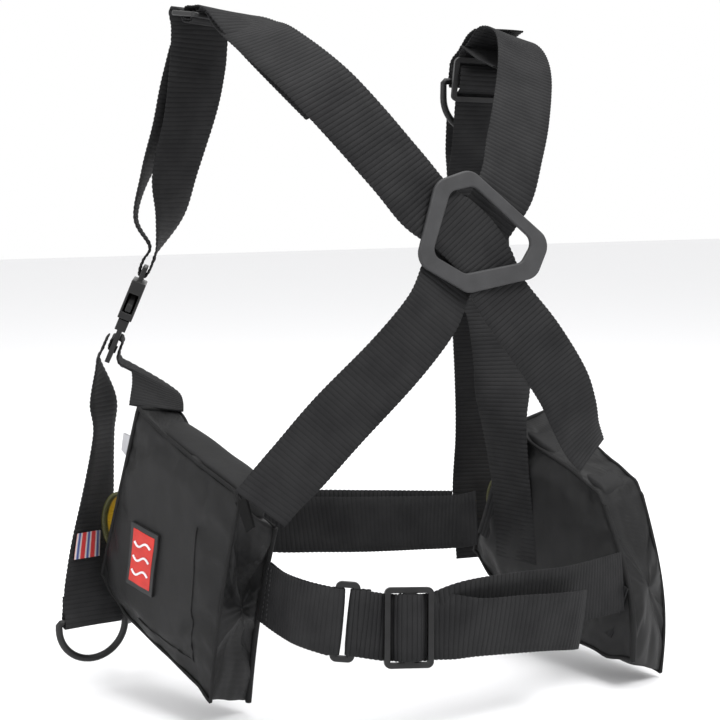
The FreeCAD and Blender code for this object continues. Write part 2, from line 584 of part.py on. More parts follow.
def pouch(side, place, out):
    depth, wall = size("pouch_depth"), size("pouch_wall")
    slack = wall + size("bag_clearance")
    corner = size("pouch_corner")
    (rear_top_x, rear_top), (rear_low_x, rear_low) = REAR_EDGES[side]
    mouth_top = MOUTH_TOPS[side]
    not_mouth = lambda p: p.x < MOUTH_X - 1
    outline = [(rear_top_x, rear_top), (rear_low_x, rear_low), (MOUTH_X - 20, MOUTH_LOW - 14),
               (MOUTH_X, MOUTH_LOW), (MOUTH_X, mouth_top)]
    shell = rounded(slab(outline, *between(out, 0, depth)), corner, not_mouth)
    inner = [(x if x < MOUTH_X - wall - 1 else MOUTH_X + 5, z) for x, z in inset(outline, wall)]
    hollow = rounded(slab(inner, *between(out, wall, depth - wall)), corner - wall, not_mouth)
    feature(side + "_pouch_shell", shell.cut(hollow), place)

    bag_low = MOUTH_LOW + slack
    bag_outline = [(rear_top_x + slack, rear_top - slack), (rear_top_x + slack, bag_low),
                   (MOUTH_X - 1, bag_low), (MOUTH_X - 1, mouth_top - slack)]
    bag = rounded(slab(bag_outline, *between(out, slack, depth - slack)), corner - wall, not_mouth)
    blocks = []
    length, height, thick = size("block_length"), size("block_height"), size("block_thick")
    gap = size("block_gap")
    floor = bag_low + wall
    low = between(out, (depth - thick) / 2, (depth + thick) / 2)[0]
    for start in BAG_STARTS:
        block = Part.makeBox(length, thick, height, V(start + slack, low, floor))
        room = Part.makeBox(length + 2 * gap, thick + 2 * gap, 2 * height,
                            V(start + slack - gap, low - gap, floor - gap))
        bag = bag.cut(room)
        blocks.append(block.makeFillet(wall, block.Edges))
    feature(side + "_weight_bag", bag, place)
    feature(side + "_weight_blocks", Part.makeCompound(blocks), place)

    panel = inset(outline, 2 * wall)
    feature(side + "_body_panel", slab(panel, *between(out, depth + 0.2, depth + 0.2 + size("panel_thick"))),
            place)
    on_outside = between(out, -0.2 - size("panel_thick"), -0.2)
    flap = [(rear_top_x + 12, rear_top - 1), (115, rear_top - 14), (160, rear_top - 33),
            (MOUTH_X - 1, rear_top - 31), (MOUTH_X - 1, mouth_top - 1)]
    feature(side + "_pouch_flap", slab(flap, *on_outside), place)

    width, height = size("patch_width"), size("patch_height")
    patch = slab([(-width / 2, -height / 2), (width / 2, -height / 2), (width / 2, height / 2),
                  (-width / 2, height / 2)], *between(out, -0.2 - size("patch_thick"), -0.2))
    patch = rounded(patch, wall, lambda p: True)
    turned = FreeCAD.Placement(V(147, 0, -25), FreeCAD.Rotation(V(0, 1, 0), 9))
    feature(side + "_patch", patch, place.multiply(turned))

    middle = -out * depth / 2
    bow = [(1.7, -2), (8, -1), (17, -8), (22, -20), (21.5, -34), (15, -45), (7, -50), (1.7, -50)]
    route = [point(place, MOUTH_X + x, middle + out * 8, z) for x, z in bow]
    strap(side + "_pull_handle", route, [direction(place, 0, 1, 0)], steps=2,
          width="handle_width", thick="handle_thick")
    tab = [(-0.7, 28), (20, 33), (22, 48), (-0.7, 52)]
    feature(side + "_bag_tab", slab([(MOUTH_X + x, z) for x, z in tab], *between(out, 9, 11.2)), place)
    if side == "left":
        rear = [(53, 52), (47, 60), (62, 77), (71, 68)]
        feature(side + "_corner_tab", slab(rear, *on_outside), place)


for pouch_side, (pouch_place, pouch_out) in POUCHES.items():
    pouch(pouch_side, pouch_place, pouch_out)

# ---------------------------------------------------------------- check and write
doc.recompute()
for obj in doc.Objects:
    if "Invalid" in obj.State or "Error" in obj.State:
        raise RuntimeError("%s did not rebuild: %s" % (obj.Label, obj.State))
os.makedirs("parts", exist_ok=True)
for piece in PIECES:
    shape = piece.Shape
    if shape.isNull() or not shape.isValid() or not shape.Solids:
        raise RuntimeError("%s has no sound solid" % piece.Label)
    shape.exportStep("parts/%s.step" % piece.Label)
    print("%-28s %6.1f cm3  %d solid(s)" % (piece.Label, shape.Volume / 1000, len(shape.Solids)))
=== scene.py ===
"""Detailed model of a diver's weight harness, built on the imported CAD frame.

Lengths in this file are in millimetres in the row frame and become metres where a mesh is made.
"""
import math

import bmesh
import bpy
from mathutils import Matrix, Vector, noise
from mathutils.bvhtree import BVHTree


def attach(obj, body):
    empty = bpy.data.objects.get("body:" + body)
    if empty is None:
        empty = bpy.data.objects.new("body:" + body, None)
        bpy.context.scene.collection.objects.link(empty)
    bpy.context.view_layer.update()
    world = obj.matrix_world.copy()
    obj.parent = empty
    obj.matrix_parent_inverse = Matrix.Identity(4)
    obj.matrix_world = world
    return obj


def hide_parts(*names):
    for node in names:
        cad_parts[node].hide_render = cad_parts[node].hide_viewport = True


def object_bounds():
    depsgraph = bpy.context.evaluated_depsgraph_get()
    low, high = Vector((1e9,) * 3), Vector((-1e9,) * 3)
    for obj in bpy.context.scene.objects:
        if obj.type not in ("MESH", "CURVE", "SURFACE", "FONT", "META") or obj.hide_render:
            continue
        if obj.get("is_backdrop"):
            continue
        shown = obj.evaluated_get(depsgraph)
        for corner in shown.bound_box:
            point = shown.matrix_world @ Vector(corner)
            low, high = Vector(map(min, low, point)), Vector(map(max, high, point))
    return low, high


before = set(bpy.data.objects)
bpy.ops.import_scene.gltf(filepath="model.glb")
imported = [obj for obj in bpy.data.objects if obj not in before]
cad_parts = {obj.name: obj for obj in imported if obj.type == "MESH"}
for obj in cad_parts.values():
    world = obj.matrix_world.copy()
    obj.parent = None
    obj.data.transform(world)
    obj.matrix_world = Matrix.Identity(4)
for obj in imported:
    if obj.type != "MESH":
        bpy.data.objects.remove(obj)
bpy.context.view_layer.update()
MM = 0.001
ROOT = "harness"


# ---------------------------------------------------------------- materials
def shader(name):
    """A new material with its node tree and its main shader."""
    material = bpy.data.materials.new(name)
    material.use_nodes = True
    tree = material.node_tree
    return material, tree, tree.nodes["Principled BSDF"]


def add(tree, kind, settings=(), **inputs):
    """Adds a node; settings are its properties, inputs its unlinked sockets."""
    node = tree.nodes.new(kind)
    for key, value in dict(settings).items():
        setattr(node, key, value)
    for key, value in inputs.items():
        node.inputs[key.replace("_", " ")].default_value = value
    return node


def ramp(tree, source, stops):
    """A colour ramp over a 0 to 1 value; stops are (position, colour)."""
    node = tree.nodes.new("ShaderNodeValToRGB")
    elements = node.color_ramp.elements
    while len(elements) < len(stops):
        elements.new(0.5)
    for element, (position, colour) in zip(elements, stops):
        element.position = position
        element.color = (*colour, 1)
    tree.links.new(source, node.inputs["Fac"])
    return node.outputs["Color"]


def grey(value):
    return (value, value, value * 1.04)


def noise_value(tree, coordinates, scale, detail=3.0):
    node = add(tree, "ShaderNodeTexNoise", Scale=scale, Detail=detail)
    tree.links.new(coordinates, node.inputs["Vector"])
    return node.outputs["Fac"]


def bands(tree, coordinates, period, axis):
    """Fine parallel bands of one period in metres, along X or Y of the coordinates."""
    node = add(tree, "ShaderNodeTexWave", {"bands_direction": axis}, Scale=2 * math.pi / 20 / period)
    tree.links.new(coordinates, node.inputs["Vector"])
    return node.outputs["Fac"]


def combine(tree, operation, first, second):
    node = add(tree, "ShaderNodeMath", {"operation": operation})
    tree.links.new(first, node.inputs[0])
    if isinstance(second, float):
        node.inputs[1].default_value = second
    else:
        tree.links.new(second, node.inputs[1])
    return node.outputs["Value"]


def bump(tree, bsdf, height, strength, distance):
    node = add(tree, "ShaderNodeBump", Strength=strength, Distance=distance)
    tree.links.new(height, node.inputs["Height"])
    tree.links.new(node.outputs["Normal"], bsdf.inputs["Normal"])


def roughness_between(tree, bsdf, source, low, high):
    node = add(tree, "ShaderNodeMapRange", To_Min=low, To_Max=high)
    tree.links.new(source, node.inputs["Value"])
    tree.links.new(node.outputs["Result"], bsdf.inputs["Roughness"])


def webbing_material(name, shaded_groove, ridge, worn):
    """Grosgrain webbing: dark between its ribs with painted shade, lighter on them with a painted highlight, with
    fine yarns along it.
    """
    material, tree, bsdf = shader(name)
    coords = tree.nodes.new("ShaderNodeTexCoord")
    rib = add(tree, "ShaderNodeAttribute", {"attribute_name": "rib"})
    # Painted light: the rib attribute gives the grooves painted shade and the rib tops a painted highlight.
    base = ramp(tree, rib.outputs["Fac"], [(0.0, shaded_groove), (0.45, ridge), (1.0, ridge)])
    patches = noise_value(tree, coords.outputs["Object"], 38.0, 5.0)
    dusty = ramp(tree, patches, [(0.35, (1, 1, 1)), (0.75, worn)])
    mix = add(tree, "ShaderNodeMix", {"data_type": "RGBA", "blend_type": "MULTIPLY"})
    mix.inputs["Factor"].default_value = 1.0
    tree.links.new(base, mix.inputs["A"])
    tree.links.new(dusty, mix.inputs["B"])
    tree.links.new(mix.outputs["Result"], bsdf.inputs["Base Color"])
    yarns = bands(tree, coords.outputs["UV"], 0.0007, "Y")
    cross = bands(tree, coords.outputs["UV"], 0.0008, "X")
    fuzz = noise_value(tree, coords.outputs["Object"], 2400.0)
    weave = combine(tree, "ADD", combine(tree, "MULTIPLY", yarns, cross), fuzz)
    bump(tree, bsdf, weave, 0.5, 0.0003)
    roughness_between(tree, bsdf, fuzz, 0.62, 0.85)
    bsdf.inputs["Specular IOR Level"].default_value = 0.16
    return material


def cloth_material(name, dark, light, gloss, period=0.0008):
    """Coated nylon: a fine plain weave, soft creases and a little wear."""
    material, tree, bsdf = shader(name)
    coords = tree.nodes.new("ShaderNodeTexCoord")
    cloud = noise_value(tree, coords.outputs["Object"], 55.0, 6.0)
    tree.links.new(ramp(tree, cloud, [(0.3, dark), (0.72, light)]), bsdf.inputs["Base Color"])
    warp = bands(tree, coords.outputs["UV"], period, "X")
    weft = bands(tree, coords.outputs["UV"], period, "Y")
    crease = combine(tree, "MULTIPLY", noise_value(tree, coords.outputs["Object"], 90.0, 4.0), 3.0)
    height = combine(tree, "ADD", combine(tree, "MULTIPLY", warp, weft), crease)
    bump(tree, bsdf, height, 0.35, 0.0004)
    roughness_between(tree, bsdf, cloud, gloss, gloss + 0.16)
    bsdf.inputs["Specular IOR Level"].default_value = 0.22
    return material


def plastic_material(name, dark, light, gloss, grain, depth):
    """Moulded plastic with a fine grain."""
    material, tree, bsdf = shader(name)
    coords = tree.nodes.new("ShaderNodeTexCoord")
    cloud = noise_value(tree, coords.outputs["Object"], 70.0, 5.0)
    tree.links.new(ramp(tree, cloud, [(0.35, dark), (0.7, light)]), bsdf.inputs["Base Color"])
    bump(tree, bsdf, noise_value(tree, coords.outputs["Object"], grain, 2.0), 0.4, depth)
    roughness_between(tree, bsdf, cloud, gloss, gloss + 0.12)
    bsdf.inputs["Specular IOR Level"].default_value = 0.3
    return material


def striped_material(name, colours, period, roughness):
    """Woven cloth with stripes across it, as wide as the ramp's stops say."""
    material, tree, bsdf = shader(name)
    coords = tree.nodes.new("ShaderNodeTexCoord")
    wave = bands(tree, coords.outputs["UV"], period, "Y")
    tree.links.new(ramp(tree, wave, colours), bsdf.inputs["Base Color"])
    thread = combine(tree, "MULTIPLY", bands(tree, coords.outputs["UV"], 0.0007, "X"),
                     bands(tree, coords.outputs["UV"], 0.0007, "Y"))
    bump(tree, bsdf, thread, 0.5, 0.0002)
    roughness_between(tree, bsdf, thread, roughness, roughness + 0.1)
    return material


MATERIALS = {
    "webbing": webbing_material("webbing", grey(0.001), grey(0.016), (0.55, 0.55, 0.57)),
    "pouch_fabric": cloth_material("pouch_fabric", grey(0.004), grey(0.009), 0.42),
    "bag_fabric": cloth_material("bag_fabric", grey(0.006), grey(0.012), 0.55),
    "binding": cloth_material("binding", grey(0.003), grey(0.008), 0.6, 0.0012),
    "hardware_plastic": plastic_material("hardware_plastic", grey(0.006), grey(0.011), 0.32, 900.0, 0.00015),
    "plate_plastic": plastic_material("plate_plastic", grey(0.026), grey(0.036), 0.5, 1500.0, 0.0003),
    "weight_metal": plastic_material("weight_metal", grey(0.15), grey(0.22), 0.5, 400.0, 0.0006),
    "grey_tab": cloth_material("grey_tab", grey(0.4), grey(0.5), 0.6),
    "handle_yellow": striped_material("handle_yellow", [(0.0, (0.8, 0.5, 0.01)), (0.4, (0.72, 0.43, 0.01)),
                                                        (0.6, (0.05, 0.05, 0.01))], 0.02, 0.5),
    "patch_frame": plastic_material("patch_frame", grey(0.012), grey(0.018), 0.4, 900.0, 0.0002),
    "patch_red": plastic_material("patch_red", (0.42, 0.02, 0.015), (0.52, 0.03, 0.02), 0.4, 900.0, 0.0002),
    "patch_white": plastic_material("patch_white", grey(0.6), grey(0.7), 0.45, 900.0, 0.0002),
    "label_fabric": striped_material("label_fabric", [(0.0, (0.03, 0.05, 0.22)), (0.35, (0.62, 0.62, 0.6)),
                                                      (0.7, (0.5, 0.03, 0.03))], 0.011, 0.6),
    "thread": plastic_material("thread", grey(0.02), grey(0.035), 0.55, 2000.0, 0.0003),
}


# ---------------------------------------------------------------- places and curves
def frame_at(origin, x_dir, z_dir):
    """A place whose local X and Z follow the two directions, X exactly."""
    x = Vector(x_dir).normalized()
    z = Vector(z_dir)
    z = (z - x * z.dot(x)).normalized()
    place = Matrix((x, z.cross(x), z)).transposed().to_4x4()
    place.translation = Vector(origin)
    return place


def point(place, x, y, z):
    return place @ Vector((x, y, z))


def direction(place, x, y, z):
    return place.to_3x3() @ Vector((x, y, z))


def across(place):
    """The width direction of webbing that lies flat in a slide, buckle or ring."""
    return direction(place, 0, 1, 0)


def curve_point(p, q, r, s, t):
    """A point at t on the smooth curve between q and r, with neighbours p and s."""
    return (q * 2 + (r - p) * t + (p * 2 - q * 5 + r * 4 - s) * t ** 2
            + (q * 3 - p - r * 3 + s) * t ** 3) * 0.5


def smooth(points, steps):
    """More points on the smooth curve through the given ones."""
    padded = [points[0]] + points + [points[-1]]
    out = []
    for i in range(1, len(padded) - 2):
        for k in range(steps):
            out.append(curve_point(*padded[i - 1:i + 3], k / steps))
    out.append(points[-1])
    return out


def level(stops, t):
    """The value at t on a smooth line through (t, value) stops."""
    for (t0, v0), (t1, v1) in zip(stops, stops[1:]):
        if t <= t1:
            f = (t - t0) / (t1 - t0)
            return v0 + (v1 - v0) * f * f * (3 - 2 * f)
    return stops[-1][1]


# ---------------------------------------------------------------- pieces
def piece(name, vertices, faces, material, body, nodes=(), uvs=None, values=None):
    """A shown mesh object from millimetre points, riding a body and standing for its CAD nodes."""
    mesh = bpy.data.meshes.new(name)
    mesh.from_pydata([tuple(Vector(v) * MM) for v in vertices], [], faces)
    mesh.materials.append(MATERIALS[material])
    outward = bmesh.new()
    outward.from_mesh(mesh)
    bmesh.ops.recalc_face_normals(outward, faces=outward.faces)
    outward.to_mesh(mesh)
    outward.free()
    if uvs:
        layer = mesh.uv_layers.new(name="UVMap")
        for loop in mesh.loops:
            layer.data[loop.index].uv = uvs[loop.vertex_index]
    for key, numbers in (values or {}).items():
        attribute = mesh.attributes.new(key, "FLOAT", "POINT")
        attribute.data.foreach_set("value", numbers)
    mesh.polygons.foreach_set("use_smooth", [True] * len(mesh.polygons))
    obj = bpy.data.objects.new(name, mesh)
    bpy.context.scene.collection.objects.link(obj)
    finish_piece(obj, body, nodes)
    return obj


def finish_piece(obj, body, nodes):
    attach(obj, body)
    if nodes:
        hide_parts(*nodes)


def tube(name, points, radius, material, body, nodes=(), closed=False):
    """A round cord or rod along millimetre points."""
    curve = bpy.data.curves.new(name, "CURVE")
    curve.dimensions = "3D"
    curve.bevel_depth = radius * MM
    curve.bevel_resolution = 4
    spline = curve.splines.new("POLY")
    spline.points.add(len(points) - 1)
    for target, p in zip(spline.points, points):
        target.co = (*(Vector(p) * MM), 1)
    spline.use_cyclic_u = closed
    curve.use_fill_caps = True
    curve.materials.append(MATERIALS[material])
    obj = bpy.data.objects.new(name, curve)
    bpy.context.scene.collection.objects.link(obj)
    finish_piece(obj, body, nodes)
    return obj


def softened(node, material, edge, body):
    """The CAD node's own shape with its edges rounded as a moulding's are."""
    bm = bmesh.new()
    bm.from_mesh(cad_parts[node].data)
    bmesh.ops.remove_doubles(bm, verts=bm.verts, dist=1e-6)
    bmesh.ops.dissolve_limit(bm, angle_limit=math.radians(2), verts=bm.verts, edges=bm.edges)
    mesh = bpy.data.meshes.new(node + "_moulded")
    bm.to_mesh(mesh)
    bm.free()
    mesh.materials.append(MATERIALS[material])
    mesh.polygons.foreach_set("use_smooth", [True] * len(mesh.polygons))
    obj = bpy.data.objects.new(node + "_moulded", mesh)
    bpy.context.scene.collection.objects.link(obj)
    rounding = obj.modifiers.new("rounding", "BEVEL")
    rounding.width = edge * MM
    rounding.segments = 3
    rounding.limit_method = "ANGLE"
    rounding.angle_limit = math.radians(35)
    normals = obj.modifiers.new("normals", "WEIGHTED_NORMAL")
    normals.keep_sharp = True
    finish_piece(obj, body, (node,))
    return obj


# ---------------------------------------------------------------- webbing
RIB = 3.9
RIB_SAMPLES = 6
RIB_DEPTH = 0.55
SECTION = [(1, 0), (0.985, 0.8), (0.6, 1), (0.2, 1), (-0.2, 1), (-0.6, 1), (-0.985, 0.8), (-1, 0),
           (-0.985, -0.8), (-0.6, -1), (-0.2, -1), (0.2, -1), (0.6, -1), (0.985, -0.8)]


class Lane:
    """A strap's centre line sampled evenly, with its width and face directions."""

    def __init__(self, route, dirs, step):
        if len(dirs) == 1:
            dirs = dirs * len(route)
        turned = [Vector(dirs[0]).normalized()]
        for w in dirs[1:]:
            side = Vector(w).normalized()
            turned.append(side if side.dot(turned[-1]) > 0 else -side)
        centres = smooth([Vector(p) for p in route], 16)
        sides = smooth(turned, 16)
        run = [0.0]
        for a, b in zip(centres, centres[1:]):
            run.append(run[-1] + (b - a).length)
        self.length = run[-1]
        count = max(4, round(self.length / step))
        self.centres, self.sides, self.ups = [], [], []
        k = 0
        for i in range(count + 1):
            s = self.length * i / count
            while k < len(run) - 2 and run[k + 1] < s:
                k += 1
            f = (s - run[k]) / max(run[k + 1] - run[k], 1e-9)
            self.centres.append(centres[k].lerp(centres[k + 1], min(f, 1)))
            self.sides.append(sides[k].lerp(sides[k + 1], min(f, 1)))
        for i, side in enumerate(self.sides):
            ahead = self.centres[min(i + 1, count)] - self.centres[max(i - 1, 0)]
            ahead.normalize()
            square = (side - ahead * side.dot(ahead)).normalized()
            self.sides[i] = side.lerp(square, 0.3).normalized()
            self.ups.append(ahead.cross(self.sides[i]).normalized())
        self.step = self.length / count

    def at(self, s, across_mm, above):
        """A place s along, across_mm to the side and above the middle of the webbing."""
        i = min(max(round(s / self.step), 0), len(self.centres) - 1)
        return self.centres[i] + self.sides[i] * across_mm + self.ups[i] * above


def strap(name, node, route, dirs, body=ROOT, width=50.0, thick=1.8, rib=RIB, material="webbing", cup=0.5):
    """Ribbed webbing along a route."""
    lane = Lane(route, dirs, rib / RIB_SAMPLES)
    vertices, uvs, ribs = [], [], []
    ring = len(SECTION)
    for i, (centre, side, up) in enumerate(zip(lane.centres, lane.sides, lane.ups)):
        s = i * lane.step
        ridge = abs(math.sin(math.pi * s / rib)) ** 0.7
        half_up = thick / 2 - RIB_DEPTH + RIB_DEPTH * ridge + 0.12
        half_side = width / 2 - 0.5 + 0.5 * ridge
        sway = 0.5 * noise.noise(centre / 40)
        for x, z in SECTION:
            lift = half_up * z + cup * (0.4 - x * x) + sway
            vertices.append(centre + side * (half_side * x) + up * lift)
            uvs.append((s * MM, x * width / 2 * MM))
            # The rib attribute also drives the webbing material's painted shade in the grooves and painted highlight
            # on the rib tops.
            ribs.append(ridge)
    faces = []
    for i in range(len(lane.centres) - 1):
        for j in range(ring):
            k = (j + 1) % ring
            faces.append((i * ring + j, i * ring + k, (i + 1) * ring + k, (i + 1) * ring + j))
    last = (len(lane.centres) - 1) * ring
    faces.append(tuple(reversed(range(ring))))
    faces.append(tuple(range(last, last + ring)))
    piece(name, vertices, faces, material, body, (node,), uvs, {"rib": ribs})
    return lane


def stitches(name, rows, body, length=2.6, gap=1.3, size=0.45, material="thread"):
    """Short threads along each row of places; a row is a list of (place, up)."""
    vertices, faces = [], []
    for row in rows:
        run = 0.0
        start = None
        for (a, up), (b, _) in zip(row, row[1:]):
            if start is None:
                start = a
            run += (b - a).length
            if run >= length + gap:
                ahead = (b - start).normalized()
                side = ahead.cross(up).normalized()
                end = start + ahead * length
                base = len(vertices)
                for centre, grow in ((start, 0.3), (start.lerp(end, 0.3), 1), (start.lerp(end, 0.7), 1), (end, 0.3)):
                    lift = up * (size * (0.6 if grow == 1 else 0.0))
                    for dx, dz in ((1, 0), (0, 1), (-1, 0), (0, -1)):
                        vertices.append(centre + lift + side * (dx * size * grow) + up * (dz * size * grow))
                for k in range(3):
                    for j in range(4):
                        m = (j + 1) % 4
                        faces.append((base + 4 * k + j, base + 4 * k + m, base + 4 * k + 4 + m, base + 4 * k + 4 + j))
                faces.append((base + 3, base + 2, base + 1, base))
                faces.append((base + 12, base + 13, base + 14, base + 15))
                start, run = None, 0.0
    return piece(name, vertices, faces, material, body)


def lane_rows(lane, lines, above):
    """Stitch rows on a strap; each line is ((along, across), (along, across))."""
    rows = []
    for (s0, w0), (s1, w1) in lines:
        row = []
        count = max(2, int(math.hypot(s1 - s0, w1 - w0) / 0.5))
        for k in range(count + 1):
            f = k / count
            s = s0 + (s1 - s0) * f
            i = min(max(round(s / lane.step), 0), len(lane.centres) - 1)
            row.append((lane.at(s, w0 + (w1 - w0) * f, above), lane.ups[i] * (1 if above > 0 else -1)))
        rows.append(row)
    return rows


def box_stitch(start, end, half):
    """A sewn box with a cross in it, from start to end along a strap."""
    corners = [(start, -half), (start, half), (end, half), (end, -half)]
    sides = list(zip(corners, corners[1:] + corners[:1]))
    return sides + [(corners[0], corners[2]), (corners[1], corners[3])]


# ---------------------------------------------------------------- where the hardware sits
LEFT_SLIDE = frame_at((134, -48, 445), (0.15, -0.95, 0.12), (-0.1, 0.1, 1))
RIGHT_SLIDE = frame_at((-119, -46, 404), (-0.02, -0.2, -1), (-0.25, -0.95, 0.2))
WAIST_SLIDE = frame_at((58, 131, -11.5), (-0.95, 0.27, -0.05), (0.27, 0.95, 0.2))
WAIST_LOOP = frame_at((103, 114, -5), (-0.9, 0.4, -0.1), (0.4, 0.9, 0.1))
FRONT_SLIDE = frame_at((88, -112, 20), (-1, 0.02, -0.03), (0, -1, 0.05))
PLATE = frame_at((-11, 118, 281), (-1, 0.05, 0), (0.05, 1, 0.09))
BUCKLES = {
    "left": frame_at((188, -120, 205), (0.37, -0.12, -0.92), (0.853, -0.339, 0.387)),
    "right": frame_at((-133, -80, 266), (-0.04, 0.02, -1), (-0.4, -0.92, 0)),
}
LEFT_TAIL_RING = frame_at((227, -107, -46), (0.05, -1, 0), (0, 0, 1))
RIGHT_SHOULDER_RING = frame_at((-120, -66, 404), (-0.2, -0.98, 0), (0, 0, 1))
POUCH_RING = frame_at((186, -131, -38), (0.86, -0.5, 0), (0, 0, 1))
PITCH = math.radians(20)


def pouch_frame(origin, forward):
    """X runs forward and up along the pouch, Z up across it, Y straight through it."""
    flat = Vector(forward).normalized()
    along = flat * math.cos(PITCH) + Vector((0, 0, math.sin(PITCH)))
    up = Vector((0, 0, math.cos(PITCH))) - flat * math.sin(PITCH)
    return frame_at(origin, along, up)


POUCHES = {
    "left": (pouch_frame((150, 97, -8), (0.321, -0.947, 0)), 1),
    "right": (pouch_frame((-219, 124, -22), (0.19, -0.982, 0)), -1),
}
LEFT_POUCH = POUCHES["left"][0]
RIGHT_POUCH = POUCHES["right"][0]
MOUTH = 200.0
DEPTH = 48.0


def local_route(place, path):
    """Points (along, above) in a place's XZ plane."""
    return [point(place, x, 0, z) for x, z in path]


def round_bar(bar_x, half_bar, leaves, side):
    """A loop sewn round a slide's bar: its strand leaves along X on the far side of the frame."""
    reach = half_bar + 2.3
    path = [(reach, -3.4), (reach, 0), (reach - 1.7, 3.1), (0, 3.4), (1.7 - reach, 3.1), (-reach, 0),
            (-reach, -3.8), (2.8 - reach, -5.8), (4, -6), (20, -5.8)]
    return [(bar_x + leaves * x, side * z) for x, z in path]


def over_bar(side):
    """Webbing that runs on through a slide: under both rails and over the centre bar's loop."""
    rising = [(-28, -3.8), (-17, -3.8), (-14.8, -3.5), (-12.5, -2.6), (-9.8, 1.5), (-6.5, 4.9)]
    falling = [(-x, z) for x, z in reversed(rising)]
    return [(x, side * z) for x, z in rising + [(0, 5.7)] + falling]


def round_ring(back, front):
    """A fold round a ring's bar, with its two layers reaching back and front above the bar."""
    bend = 4.5
    return [(-1.5, back), (-2.2, 12), (-bend, 3), (-0.75 * bend, -0.7 * bend), (0, -bend),
            (0.75 * bend, -0.7 * bend), (bend, 3), (2.2, 12), (1.5, front)]


# ---------------------------------------------------------------- shoulder straps
def shoulder_strap(name, slide, over_shoulder, over_dirs):
    loop = local_route(slide, round_bar(0, 4.0, -1, -1))
    return strap(name + "_webbing", name, loop + over_shoulder, [across(slide)] * len(loop) + over_dirs)


left_shoulder = shoulder_strap("left_shoulder_strap", LEFT_SLIDE,
    [(125, -8, 437), (121, 25, 423), (100, 76, 386), (57, 103, 330), (32, 108.5, 301), (11, 114, 286),
     (-6, 115.5, 271), (-17, 117, 256), (-31, 118, 230), (-56, 124, 197), (-84, 122, 161), (-99, 118, 136),
     (-112, 112, 114), (-126, 106, 98)],
    [(.98, -.02, -.15), (.94, -.07, -.33), (.9, -.11, -.42), (.87, 0, -.5), (.84, 0, -.53), (.84, .02, -.53),
     (.84, .05, -.53), (.85, .08, -.5), (.86, .1, -.5), (.84, 0, -.55), (.88, 0, -.46), (.9, .1, -.38),
     (.88, .3, -.33), (.84, .45, -.25)])
right_shoulder = shoulder_strap("right_shoulder_strap", RIGHT_SLIDE,
    [(-119, -33, 432), (-118, -14, 440), (-115, 12, 431), (-101, 40, 407), (-76, 72, 370), (-58, 90, 342),
     (-42, 104, 315), (-24, 108.5, 293), (-2, 110, 268), (14, 111.2, 249), (33, 119, 221), (65, 117, 186),
     (103, 106, 146), (131, 95, 112), (146, 88, 94), (157, 83, 80)],
    [(.97, -.22, .1), (.94, -.2, .25), (.92, -.15, .36), (.92, -.21, .33), (.91, -.24, .34), (.9, -.2, .38),
     (.87, -.1, .46), (.84, 0, .52), (.83, .02, .55), (.83, .02, .56), (.8, 0, .6), (.77, -.08, .63),
     (.72, -.18, .67), (.73, -.13, .67), (.78, -.05, .62), (.78, -.05, .62)])

# ---------------------------------------------------------------- front straps
SOCKET_BAR = -43.0


def front_strap(name, slide, buckle, tail, tail_dirs, leg, leg_dirs, back_up, back_dirs):
    """One webbing: its tail, through the slide, down the leg, round the buckle's bar and up again."""
    through = local_route(slide, over_bar(-1))
    loop = local_route(buckle, [(SOCKET_BAR - 16, -3.4), (SOCKET_BAR - 8, -3.8), (SOCKET_BAR - 1, -3.9),
                                (SOCKET_BAR + 4.5, -2.5), (SOCKET_BAR + 5.6, 0), (SOCKET_BAR + 4.5, 2.5),
                                (SOCKET_BAR - 1, 3.9), (SOCKET_BAR - 8, 3.8), (SOCKET_BAR - 20, 3.4)])
    return strap(name + "_webbing", name, tail + through + leg + loop + back_up,
                 tail_dirs + [across(slide)] * len(through) + leg_dirs + [across(buckle)] * len(loop) + back_dirs)


left_front = front_strap("left_front_strap", LEFT_SLIDE, BUCKLES["left"],
    [(92, 77, 374), (113, 24, 416)], [(.9, -.11, -.42), (.94, -.07, -.33)],
    [(134, -80, 442), (133, -84, 427), (134, -86, 408), (138, -92, 373), (147, -107, 324), (150, -112, 290)],
    [(.98, .03, .03), (.99, .03, .08), (.99, .05, .05), (.98, .15, -.1), (.93, .36, 0), (.75, .65, 0)],
    [(177, -119, 288), (167, -118, 325), (150, -108, 362), (139, -99, 398), (132, -91, 425)],
    [(.38, .92, 0), (.5, .86, 0), (.8, .55, 0), (.95, .25, 0), (.98, .1, 0)])
right_front = front_strap("right_front_strap", RIGHT_SLIDE, BUCKLES["right"],
    [(-111, 16, 404), (-114, -12, 414)], [(.93, -.15, .34), (.95, -.18, .28)],
    [(-121, -57, 366), (-125, -66, 342)], [(.97, -.25, 0), (.95, -.32, 0)],
    [(-135, -92, 345), (-133, -88, 372)], [(.93, -.36, 0), (.95, -.3, 0)])

# ---------------------------------------------------------------- straps from the buckles
PLUG_BAR = 23.0


def pouch_strap(side, leaves, route, dirs):
    """The strap between a buckle's plug and the pouch; its loop leaves the bar over so many points."""
    loop = local_route(BUCKLES[side], round_bar(PLUG_BAR, 3, 1, 1)[:leaves])
    return strap(side + "_pouch_strap_webbing", side + "_pouch_strap", loop + route,
                 [across(BUCKLES[side])] * len(loop) + dirs)


